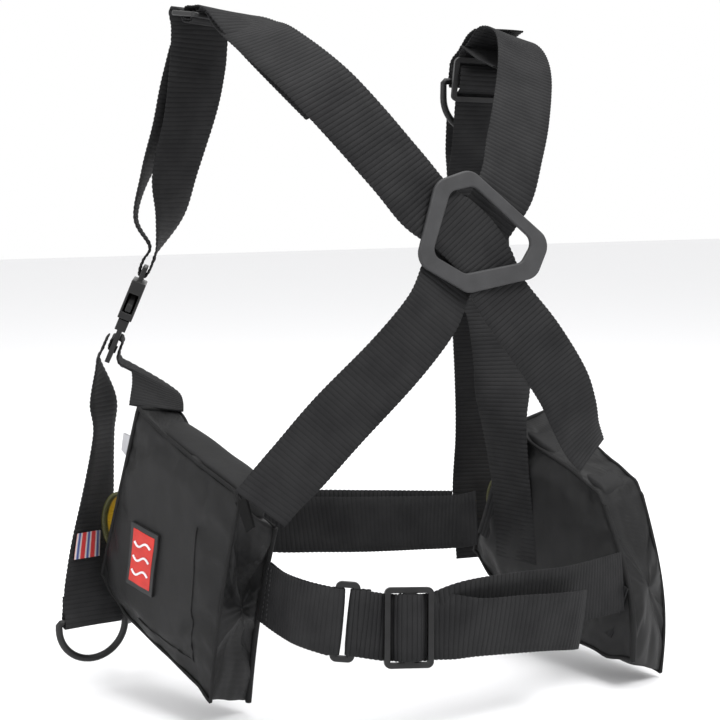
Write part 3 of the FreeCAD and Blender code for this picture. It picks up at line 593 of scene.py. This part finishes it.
pouch_strap("left", -1, [point(BUCKLES["left"], 33, 0, -7), point(BUCKLES["left"], 36.5, 0, -11),
                         point(BUCKLES["left"], 37, 0, -16), (180, -114, 159.5), (174.5, -105.5, 155),
                         (172, -94.5, 151.5), (175.5, -80, 145), point(LEFT_POUCH, 199, -18, 81)],
            [across(BUCKLES["left"]), across(BUCKLES["left"]), across(BUCKLES["left"]), (.61, .76, .19),
             (.79, .5, .33), (.88, .14, .45), (.9, .2, .3), (.94, .26, .12)])
pouch_strap("right", None, [(-139, -64, 196), (-139, -46, 150), point(RIGHT_POUCH, 203, 57, 66),
                      point(RIGHT_POUCH, 180, 54.6, 22), point(RIGHT_POUCH, 158, 54.2, -19),
                      point(RIGHT_POUCH, 143, 54.2, -50)],
            [(.99, -.1, 0), (.9, -.4, 0), (.4, -.9, 0), (.19, -.98, 0), (.19, -.98, 0), (.19, -.98, 0)])
hang = local_route(BUCKLES["left"], [(20, 7.4), (34, 7.6), (44, 7)])
fold = local_route(LEFT_TAIL_RING, round_ring(20, 22))
left_tail = strap("left_pull_tail_webbing", "left_pull_tail",
    hang + [(206, -129, 134), (207, -127, 106), (216, -121, 53), (222.5, -115, 17), (227, -110, -12)] + fold,
    [across(BUCKLES["left"])] * 3 + [(.69, .72, .1), (.62, .79, .1), (.77, .64, .1), (.89, .45, .05),
                                     (.96, .3, 0)] + [across(LEFT_TAIL_RING)] * len(fold), body="left_tail")
right_tail = strap("right_pull_tail_webbing", "right_pull_tail",
    local_route(BUCKLES["right"], [(20, 7.4), (34, 7.6), (44, 7)])
    + [(-146, -96, 180), (-155, -106, 130), (-160, -112, 80), (-158, -113, 22), (-163, -113, -44)],
    [across(BUCKLES["right"])] * 3 + [(.96, -.28, 0)] * 5, body="right_tail")
strap("tail_label_tag", "tail_label", [(227.3, -109.3, 28), (229, -107.6, 17), (230.4, -106.4, 7)],
      [(.86, .51, .05), (.89, .45, .05), (.91, .41, .05)], body="left_tail", width=28.0, thick=0.8, rib=0.9,
      material="label_fabric", cup=0.0)

# ---------------------------------------------------------------- belts
front_belt = strap("front_belt_webbing", "front_belt", local_route(FRONT_SLIDE, round_bar(0, 4.0, 1, 1))
    + [(56, -106, 15), (23, -97, 13), (-20, -84, 11), (-75, -75, 8), (-110, -72, 6),
       point(RIGHT_POUCH, 199, 57.5, -38)],
    [across(FRONT_SLIDE)] * 10 + [(0, .2, -.97), (-.1, .25, -.95), (-.05, .15, -.97), (0, 0, -1), (.03, 0, -1),
                                  (.03, 0, -1)])
strap("right_pouch_belt_webbing", "right_pouch_belt",
      [point(RIGHT_POUCH, x, 51.7, -29) for x in (197, 110, 24)], [direction(RIGHT_POUCH, 0, 0, -1)])
strap("front_belt_tail_webbing", "front_belt_tail",
    [(156.5, -84, 25), (150, -98, 24), (128, -107, 22)] + local_route(FRONT_SLIDE, over_bar(1))
    + [(42, -107, 17), (18, -102, 18), (-20, -91, 16), (-75, -82, 12), (-107, -79, 9)],
    [(0, 0, -1)] * 3 + [across(FRONT_SLIDE)] * 13
    + [(-.05, .1, -.98), (-.1, .25, -.95), (-.05, .15, -.97), (0, 0, -1), (.03, 0, -1)])
SEAM = direction(LEFT_POUCH, -0.06, 0, -1)
anchor = strap("rear_belt_anchor_webbing", "rear_belt_anchor",
    [point(LEFT_POUCH, 58, -43.5, -13), (127, 58, -3), (123, 86, -3)]
    + local_route(WAIST_LOOP, [(-13.8, -3.8), (-8.8, -4), (-3.6, -3.1), (-2.4, 0), (-3.6, 3.1), (-8.8, 4),
                               (-13.8, 3.8)])
    + [(128, 89, -2), (131, 60, -2), point(LEFT_POUCH, 58, -39.5, -13)],
    [SEAM, (.05, 0, -.99), (.1, -.05, -.99)] + [across(WAIST_LOOP)] * 7
    + [(.1, -.05, -.99), (.05, 0, -.99), SEAM])
rear_strap = strap("rear_belt_strap_webbing", "rear_belt_strap",
    local_route(WAIST_LOOP, [(17.8, -3.9), (8.8, -4), (3.6, -3.1), (2.4, 0), (3.6, 3.1), (8.8, 4), (12, 3.9)])
    + local_route(WAIST_SLIDE, over_bar(1)[1:])
    + [(8, 146, -15), (-27, 149, -17), (-59, 149, -20), (-84, 144, -24), (-98, 136, -27)],
    [across(WAIST_LOOP)] * 7 + [across(WAIST_SLIDE)] * 12
    + [(0, -.2, -.98), (0, -.2, -.98), (.03, -.2, -.98), (.05, -.15, -.98), (.05, -.1, -.98)])
rear_main = strap("rear_belt_main_webbing", "rear_belt_main",
    local_route(WAIST_SLIDE, round_bar(0, 4.0, 1, 1))
    + [(10, 136, -4), (-36, 133, -5), (-92, 125, -9), (-162, 104.5, -13)],
    [across(WAIST_SLIDE)] * 10 + [(.05, -.1, -.99)] * 3 + [direction(RIGHT_POUCH, -0.5, 0, -1)])

# ---------------------------------------------------------------- rings and their tabs
def ring(name, place, inside, leg, body):
    """A D-ring's rod: straight bar, two legs and a half circle."""
    reach = (inside + 6.0) / 2
    path = [(y, 0) for y in (-reach + 2, -reach / 2, 0, reach / 2, reach - 2)] + [(reach, -2), (reach, -leg)]
    turn = 24
    for k in range(1, turn):
        angle = math.pi * k / turn
        path.append((reach * math.cos(angle), -leg - reach * math.sin(angle)))
    path += [(-reach, -leg), (-reach, -2)]
    return tube(name + "_rod", [point(place, 0, y, z) for y, z in path], 3.0, "hardware_plastic", body, (name,),
                closed=True)


ring("right_shoulder_ring", RIGHT_SHOULDER_RING, 52.0, 14.0, "right_shoulder_ring")
ring("left_tail_ring", LEFT_TAIL_RING, 52.0, 5.0, "left_tail_ring")
ring("left_pouch_ring", POUCH_RING, 27.0, 5.0, "left_pouch_ring")
fold = local_route(RIGHT_SHOULDER_RING, [(-x, z) for x, z in reversed(round_ring(16, 18))])
strap("right_shoulder_ring_tab_webbing", "right_shoulder_ring_tab",
      [(-118, -24, 445.5), (-119, -38, 441), (-120, -53, 430)] + fold, [across(RIGHT_SHOULDER_RING)], width=46.0)
strap("left_pouch_ring_tab_webbing", "left_pouch_ring_tab", local_route(POUCH_RING, round_ring(18, 18)),
      [across(POUCH_RING)], width=25.0, thick=1.8)

# ---------------------------------------------------------------- moulded hardware
for node in ("left_shoulder_slide", "right_shoulder_slide", "waist_slide", "front_belt_slide", "waist_loop"):
    softened(node, "hardware_plastic", 1.3, ROOT)
softened("back_plate", "plate_plastic", 1.5, ROOT)
for side in ("left", "right"):
    softened(side + "_buckle_socket", "hardware_plastic", 1.2, ROOT)
    softened(side + "_buckle_plug", "hardware_plastic", 0.9, ROOT)
    for which in ("front", "rear"):
        softened("%s_buckle_prong_%s" % (side, which), "hardware_plastic", 0.8, "%s_prong_%s" % (side, which))


# ---------------------------------------------------------------- pouches
# Each corner line runs from the pouch's rear (0) to its mouth (1): its height, and how deep it lies.
POUCH_LINES = {
    "left": {
        "rear_top": 68, "rear_low": 46, "bow": 4,
        "outer_top": [(0, 68), (0.06, 75), (0.35, 75), (0.7, 77), (0.9, 80), (1, 83)],
        "outer_low": [(0, -98), (0.12, -93), (0.4, -91), (0.72, -89), (0.88, -82), (1, -73)],
        "inner_top": [(0, 38), (0.15, 47), (0.5, 60), (1, 75)],
        "inner_low": [(0, -112), (0.12, -104), (0.4, -94), (0.72, -90), (0.88, -83), (1, -74)],
        "top_depth": [(0, 46), (0.2, 26), (0.6, 30), (1, 42)],
        "low_depth": [(0, 44), (0.3, 46), (1, 46)],
    },
    "right": {
        "rear_top": 76, "rear_low": 0, "bow": -13,
        "outer_top": [(0, 48), (0.1, 56), (0.3, 59), (0.6, 63), (1, 67)],
        "outer_low": [(0, -86), (0.1, -89), (0.85, -87), (1, -76)],
        "inner_top": [(0, 44), (0.1, 51), (0.4, 54), (0.75, 53), (1, 56)],
        "inner_low": [(0, -62), (0.15, -76), (0.4, -86), (0.85, -87), (1, -76)],
        "top_depth": [(0, 46), (0.3, 46), (1, 46)],
        "low_depth": [(0, 47), (0.3, 47), (1, 47)],
    },
}
SIDE_CELLS, EDGE_CELLS, LENGTH_CELLS, REAR_RINGS = 34, 10, 42, 6


def pouch_ring_points(side, s):
    """The pouch's four-sided section at s from rear to mouth: (place, is it on a seam)."""
    place, out = POUCHES[side]
    lines = POUCH_LINES[side]
    top_u = lines["rear_top"] + (MOUTH - lines["rear_top"]) * s
    low_u = lines["rear_low"] + (MOUTH - lines["rear_low"]) * s
    top_in = level(lines["top_depth"], s)
    low_in = level(lines["low_depth"], s)
    corners = [(top_u, 0.0, level(lines["outer_top"], s)), (low_u, 0.0, level(lines["outer_low"], s)),
               (low_u, -low_in, level(lines["inner_low"], s)), (top_u, -top_in, level(lines["inner_top"], s))]
    ring_points = []
    for i, cells in enumerate((SIDE_CELLS, EDGE_CELLS, SIDE_CELLS, EDGE_CELLS)):
        start, end = corners[i], corners[(i + 1) % 4]
        for k in range(cells):
            f = k / cells
            u, y, v = (a + (b - a) * f for a, b in zip(start, end))
            arch = math.sin(math.pi * f)
            if cells == SIDE_CELLS:
                u += lines["bow"] * (1 - s) ** 2 * arch
            ring_points.append((point(place, u, out * y, v), k == 0))
    return ring_points


def pouch_mesh(side):
    """The pouch before it is filled: rings from the middle of its rear wall to its open mouth."""
    rings = []
    rear = pouch_ring_points(side, 0.0)
    middle = sum((p for p, _ in rear), Vector()) / len(rear)
    for k in range(REAR_RINGS):
        grow = (k + 0.4) / REAR_RINGS
        rings.append([(middle.lerp(p, grow), False) for p, _ in rear])
    for k in range(LENGTH_CELLS + 1):
        s = k / LENGTH_CELLS
        held = k == LENGTH_CELLS
        rings.append([(p, corner or held or k == 0) for p, corner in pouch_ring_points(side, s)])
    count = len(rings[0])
    vertices = [p for one in rings for p, _ in one]
    pinned = [i for i, (_, held) in enumerate(q for one in rings for q in one) if held]
    faces = [tuple(range(count))]
    for r in range(len(rings) - 1):
        for j in range(count):
            k = (j + 1) % count
            faces.append((r * count + j, r * count + k, (r + 1) * count + k, (r + 1) * count + j))
    return vertices, faces, pinned


def cloth_settings(settings, pin_group):
    """Stiff coated nylon, a little too large for its seams, with something inside it."""
    settings.quality = 6
    settings.mass = 0.3
    settings.tension_stiffness = 20
    settings.compression_stiffness = 6
    settings.shear_stiffness = 5
    settings.bending_stiffness = 0.6
    settings.vertex_group_mass = pin_group
    settings.use_pressure = True
    settings.uniform_pressure_force = 2.2
    settings.shrink_min = -0.035
    settings.effector_weights.gravity = 0


def filled(obj, pinned, reach):
    """Lets the cloth swell and pucker between its seams, then keeps that shape as its own mesh."""
    scene = bpy.context.scene
    rest = [v.co.copy() for v in obj.data.vertices]
    group = obj.vertex_groups.new(name="seams")
    group.add(pinned, 1.0, "REPLACE")
    modifier = obj.modifiers.new("fill", "CLOTH")
    cloth_settings(modifier.settings, group.name)
    for step in range(1, 21):
        scene.frame_set(step)
    depsgraph = bpy.context.evaluated_depsgraph_get()
    settled = [v.co.copy() for v in obj.evaluated_get(depsgraph).to_mesh().vertices]
    obj.modifiers.remove(modifier)
    obj.vertex_groups.remove(group)
    for vertex, start, end in zip(obj.data.vertices, rest, settled):
        shift = end - start
        if shift.length > reach * MM:
            shift *= reach * MM / shift.length
        vertex.co = start + shift
    scene.frame_set(1)


def creased(obj, amount, grain):
    """Small soft creases along the surface's own normals."""
    normals = [v.normal.copy() for v in obj.data.vertices]
    for vertex, normal in zip(obj.data.vertices, normals):
        where = vertex.co / (grain * MM)
        stretched = Vector((where.x, where.y, where.z * 0.45))
        vertex.co += normal * (amount * MM * noise.noise(stretched))


def cloth_uvs(vertices, place):
    """Flat coordinates in metres for a weave that follows the pouch's sides."""
    inverse = place.inverted()
    return [((inverse @ v).x * MM, (inverse @ v).z * MM) for v in vertices]


def corner_line(side, which, start=0.0, end=1.0, count=40):
    """A seam of the pouch: 0 and 1 along its outer face, 2 and 3 along its inner one."""
    starts = (0, SIDE_CELLS, SIDE_CELLS + EDGE_CELLS, 2 * SIDE_CELLS + EDGE_CELLS)
    return [pouch_ring_points(side, start + (end - start) * k / count)[starts[which]][0]
            for k in range(count + 1)]


def rear_line(side, inner):
    """The upright seam down the pouch's rear edge, on its outer or inner side."""
    points = [p for p, _ in pouch_ring_points(side, 0.0)]
    if inner:
        return points[SIDE_CELLS + EDGE_CELLS:2 * SIDE_CELLS + EDGE_CELLS + 1]
    return points[:SIDE_CELLS + 1]


class Skin:
    """The filled pouch's surface, to lay seams and patches on."""

    def __init__(self, side, obj):
        self.place, self.out = POUCHES[side]
        self.tree = BVHTree.FromPolygons([v.co.copy() for v in obj.data.vertices],
                                         [tuple(face.vertices) for face in obj.data.polygons])

    def at(self, u, v, lift=0.0, inner=False):
        """(place, outward) on the outer or inner face at this height and distance along it."""
        face = -self.out if inner else self.out
        start = point(self.place, u, face * 90 - (DEPTH * self.out / 2), v)
        inward = direction(self.place, 0, -face, 0)
        hit, normal, _, _ = self.tree.ray_cast(start * MM, inward)
        if hit is None:
            return point(self.place, u, (0 if not inner else -DEPTH * self.out) + face * lift, v), -inward
        return hit / MM - inward * lift, -inward

    def line(self, stops, lift=0.0, inner=False, gap=1.5):
        """Places along a bent line of (u, v) stops."""
        out = []
        for (u0, v0), (u1, v1) in zip(stops, stops[1:]):
            count = max(2, int(math.hypot(u1 - u0, v1 - v0) / gap))
            out += [self.at(u0 + (u1 - u0) * k / count, v0 + (v1 - v0) * k / count, lift, inner)
                    for k in range(count)]
        return out


def laid_panel(name, skin, corners, thick, material, body, nodes=(), inner=False, cells=10):
    """A thin four-cornered piece that lies on the pouch's face."""
    rows = []
    for i in range(cells + 1):
        a, b = i / cells, 1 - i / cells
        left = [corners[0][k] * b + corners[3][k] * a for k in (0, 1)]
        right = [corners[1][k] * b + corners[2][k] * a for k in (0, 1)]
        rows.append([skin.at(left[0] + (right[0] - left[0]) * j / cells,
                             left[1] + (right[1] - left[1]) * j / cells, thick, inner)
                     for j in range(cells + 1)])
    top = [p for row in rows for p, _ in row]
    low = [p - normal * (thick + 0.6) for row in rows for p, normal in row]
    side = cells + 1
    count = side * side
    faces = []
    for i in range(cells):
        for j in range(cells):
            a, b = i * side + j, i * side + j + 1
            faces.append((a, b, b + side, a + side))
            faces.append((count + a + side, count + b + side, count + b, count + a))
    rim = [i * side for i in range(side)] + [cells * side + j for j in range(1, side)]
    rim += [i * side + cells for i in range(cells - 1, -1, -1)] + [j for j in range(cells - 1, 0, -1)]
    for a, b in zip(rim, rim[1:] + rim[:1]):
        faces.append((a, b, count + b, count + a))
    uvs = cloth_uvs(top + low, skin.place)
    obj = piece(name, top + low, faces, material, body, nodes, uvs)
    soften = obj.modifiers.new("rounding", "BEVEL")
    soften.width = 0.25 * MM
    soften.segments = 2
    soften.limit_method = "ANGLE"
    return obj


def turned_square(centre, half_u, half_v, angle):
    """The corners of a rectangle turned in the pouch's face."""
    c, s = math.cos(math.radians(angle)), math.sin(math.radians(angle))
    return [(centre[0] + x * c - z * s, centre[1] + x * s + z * c)
            for x, z in ((-half_u, -half_v), (half_u, -half_v), (half_u, half_v), (-half_u, half_v))]


def patch(side, skin):
    """A plain red badge in a dark frame, with three plain white waves."""
    centre = (147, -25)
    turn = -9
    laid_panel(side + "_patch_frame", skin, turned_square(centre, 16.5, 26.5, turn), 2.2, "patch_frame", ROOT,
               (side + "_patch",), cells=14)
    laid_panel(side + "_patch_field", skin, turned_square(centre, 13, 22.5, turn), 2.6, "patch_red", ROOT,
               cells=14)
    c, s = math.cos(math.radians(turn)), math.sin(math.radians(turn))
    for number, height in enumerate((-12, 0, 12)):
        points = []
        for k in range(41):
            x = -10 + 20 * k / 40
            z = height + 2.6 * math.sin(2 * math.pi * k / 40)
            points.append(skin.at(centre[0] + x * c - z * s, centre[1] + x * s + z * c, 2.9)[0])
        tube("%s_patch_wave_%d" % (side, number), points, 0.9, "patch_white", ROOT)


def closed_bag(side):
    """The weight bag that fills the pouch and shows at its mouth."""
    place, out = POUCHES[side]
    rear_top, low, top = POUCH_LINES[side]["rear_top"] + 6, -69.0, 76.0 if side == "left" else 58.0
    bm = bmesh.new()
    bmesh.ops.create_cube(bm, size=1.0)
    bmesh.ops.subdivide_edges(bm, edges=bm.edges, cuts=7, use_grid_fill=True)
    for vertex in bm.verts:
        x, y, z = vertex.co * 2
        crown = 1 - 0.06 * (abs(x) ** 4 + abs(z) ** 4)
        u = (rear_top + MOUTH - 1) / 2 + (MOUTH - 1 - rear_top) / 2 * x * (1 - 0.02 * (y * y + z * z))
        v = (low + top) / 2 + (top - low) / 2 * z * (1 - 0.03 * (x ** 4 + y ** 4))
        depth = DEPTH / 2 - (DEPTH / 2 - 5) * y * crown
        vertex.co = point(place, u, -out * depth, v) * MM
    mesh = bpy.data.meshes.new(side + "_weight_bag_cloth")
    bm.normal_update()
    bm.to_mesh(mesh)
    bm.free()
    mesh.materials.append(MATERIALS["bag_fabric"])
    mesh.polygons.foreach_set("use_smooth", [True] * len(mesh.polygons))
    obj = bpy.data.objects.new(side + "_weight_bag_cloth", mesh)
    bpy.context.scene.collection.objects.link(obj)
    creased(obj, 1.5, 22.0)
    rounding = obj.modifiers.new("rounding", "SUBSURF")
    rounding.levels = rounding.render_levels = 2
    finish_piece(obj, side + "_weight", (side + "_weight_bag",))
    return obj


def pouch(side):
    place, out = POUCHES[side]
    vertices, faces, pinned = pouch_mesh(side)
    obj = piece(side + "_pouch_cloth", vertices, faces, "pouch_fabric", ROOT,
                (side + "_pouch_shell", side + "_body_panel", side + "_pouch_flap"), cloth_uvs(vertices, place))
    filled(obj, pinned, 8.0)
    creased(obj, 0.9, 14.0)
    skin = Skin(side, obj)
    shell = obj.modifiers.new("thickness", "SOLIDIFY")
    shell.thickness = 1.2 * MM
    shell.offset = -1
    finer = obj.modifiers.new("finer", "SUBSURF")
    finer.levels = finer.render_levels = 1
    for number, which in enumerate((0, 1, 3, 2)):
        tube("%s_seam_binding_%d" % (side, number), corner_line(side, which), 1.5, "binding", ROOT)
    for name, inner, radius in (("outer", False, 1.5), ("inner", True, 2.6)):
        tube("%s_rear_binding_%s" % (side, name), rear_line(side, inner), radius, "binding", ROOT)
    mouth = [p for p, _ in pouch_ring_points(side, 1.0)]
    tube(side + "_mouth_binding", mouth, 1.8, "binding", ROOT, closed=True)
    patch(side, skin)
    seam = [(98, 32), (73, -77), (140, -77)]
    tube(side + "_panel_seam", [p for p, _ in skin.line(seam, 0.1)], 0.7, "pouch_fabric", ROOT)
    closed_bag(side)
    middle = -out * DEPTH / 2
    bow = [(1.7, -2), (8, -1), (17, -8), (22, -20), (21.5, -34), (15, -45), (7, -50), (1.7, -50)]
    strap(side + "_pull_handle_webbing", side + "_pull_handle",
          [point(place, MOUTH + x, middle + out * 8, z) for x, z in bow], [direction(place, 0, 1, 0)],
          body=side + "_weight", width=20.0, thick=3.0, rib=1.6, material="handle_yellow", cup=0.0)
    return skin


skins = {side: pouch(side) for side in POUCHES}
laid_panel("left_corner_tab_tape", skins["left"], [(53, 52), (71, 68), (62, 77), (47, 60)], 1.4, "webbing", ROOT,
           ("left_corner_tab",), cells=6)

for side, (place, out) in POUCHES.items():
    tab = [(-0.7, 28), (20, 33), (22, 48), (-0.7, 52)]
    corners = [[point(place, MOUTH + x, -out * depth, z) for x, z in tab] for depth in (9.0, 11.2)]
    faces = [(0, 1, 2, 3), (7, 6, 5, 4)] + [(i, i + 4, (i + 1) % 4 + 4, (i + 1) % 4) for i in range(4)]
    obj = piece(side + "_bag_tab_cloth", corners[0] + corners[1], faces, "grey_tab", side + "_weight",
                (side + "_bag_tab",), cloth_uvs(corners[0] + corners[1], place))
    rounding = obj.modifiers.new("rounding", "BEVEL")
    rounding.width = 0.7 * MM
    rounding.segments = 3
for side in POUCHES:
    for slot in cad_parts[side + "_weight_blocks"].material_slots:
        slot.material = MATERIALS["weight_metal"]

# ---------------------------------------------------------------- sewing
top = 1.1
stitches("left_shoulder_sewing", lane_rows(left_shoulder, box_stitch(34, 62, 20), top), ROOT)
stitches("right_shoulder_sewing", lane_rows(right_shoulder, box_stitch(34, 62, 20), top), ROOT)
stitches("anchor_sewing", lane_rows(anchor, [((anchor.length - 8, -23), (anchor.length - 8, 23)),
                                             ((anchor.length - 14, -23), (anchor.length - 14, 23))], top), ROOT)
stitches("tail_sewing", lane_rows(left_tail, [((left_tail.length - 4, -23), (left_tail.length - 4, 23))], top),
         "left_tail")

# ---------------------------------------------------------------- floor, light and camera
low, high = (Vector(corner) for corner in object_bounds())
FLOOR_GAP = 0.004
bpy.ops.mesh.primitive_plane_add(size=12, location=(0, 0, low.z - FLOOR_GAP))
floor = bpy.context.object
floor.name = "floor"
pale, tree, bsdf = shader("floor")
bsdf.inputs["Base Color"].default_value = (0.85, 0.85, 0.86, 1)
bsdf.inputs["Roughness"].default_value = 0.7
floor.data.materials.append(pale)
floor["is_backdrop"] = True


def area_light(name, place, target, size, power):
    lamp = bpy.data.lights.new(name, "AREA")
    lamp.size = size
    lamp.energy = power
    obj = bpy.data.objects.new(name, lamp)
    obj.location = place
    obj.rotation_euler = (Vector(target) - Vector(place)).to_track_quat("-Z", "Y").to_euler()
    bpy.context.scene.collection.objects.link(obj)


AIM = Vector((9, -39, 167)) * MM
AZIMUTH, ELEVATION, DISTANCE = math.radians(152), math.radians(7.5), 1.23
back = Vector((math.sin(AZIMUTH) * math.cos(ELEVATION), -math.cos(AZIMUTH) * math.cos(ELEVATION),
               math.sin(ELEVATION)))
camera_data = bpy.data.cameras.new("camera")
camera_data.angle = math.radians(27.88)
camera = bpy.data.objects.new("camera", camera_data)
camera.location = AIM + back * DISTANCE
camera.rotation_euler = back.to_track_quat("Z", "Y").to_euler()
bpy.context.scene.collection.objects.link(camera)
bpy.context.scene.camera = camera

side_way = back.cross(Vector((0, 0, 1))).normalized()
area_light("key", AIM + back * 1.0 - side_way * 0.9 + Vector((0, 0, 1.4)), AIM, 0.8, 30)
area_light("fill", AIM + back * 1.2 + side_way * 1.3 + Vector((0, 0, 0.4)), AIM, 1.2, 10)
area_light("top", AIM + Vector((0, 0, 1.8)), AIM, 1.2, 22)
world = bpy.data.worlds.new("studio")
world.use_nodes = True
world.node_tree.nodes["Background"].inputs["Color"].default_value = (1, 1, 1, 1)
world.node_tree.nodes["Background"].inputs["Strength"].default_value = 1.0
bpy.context.scene.world = world
bpy.context.scene.view_settings.view_transform = "Standard"
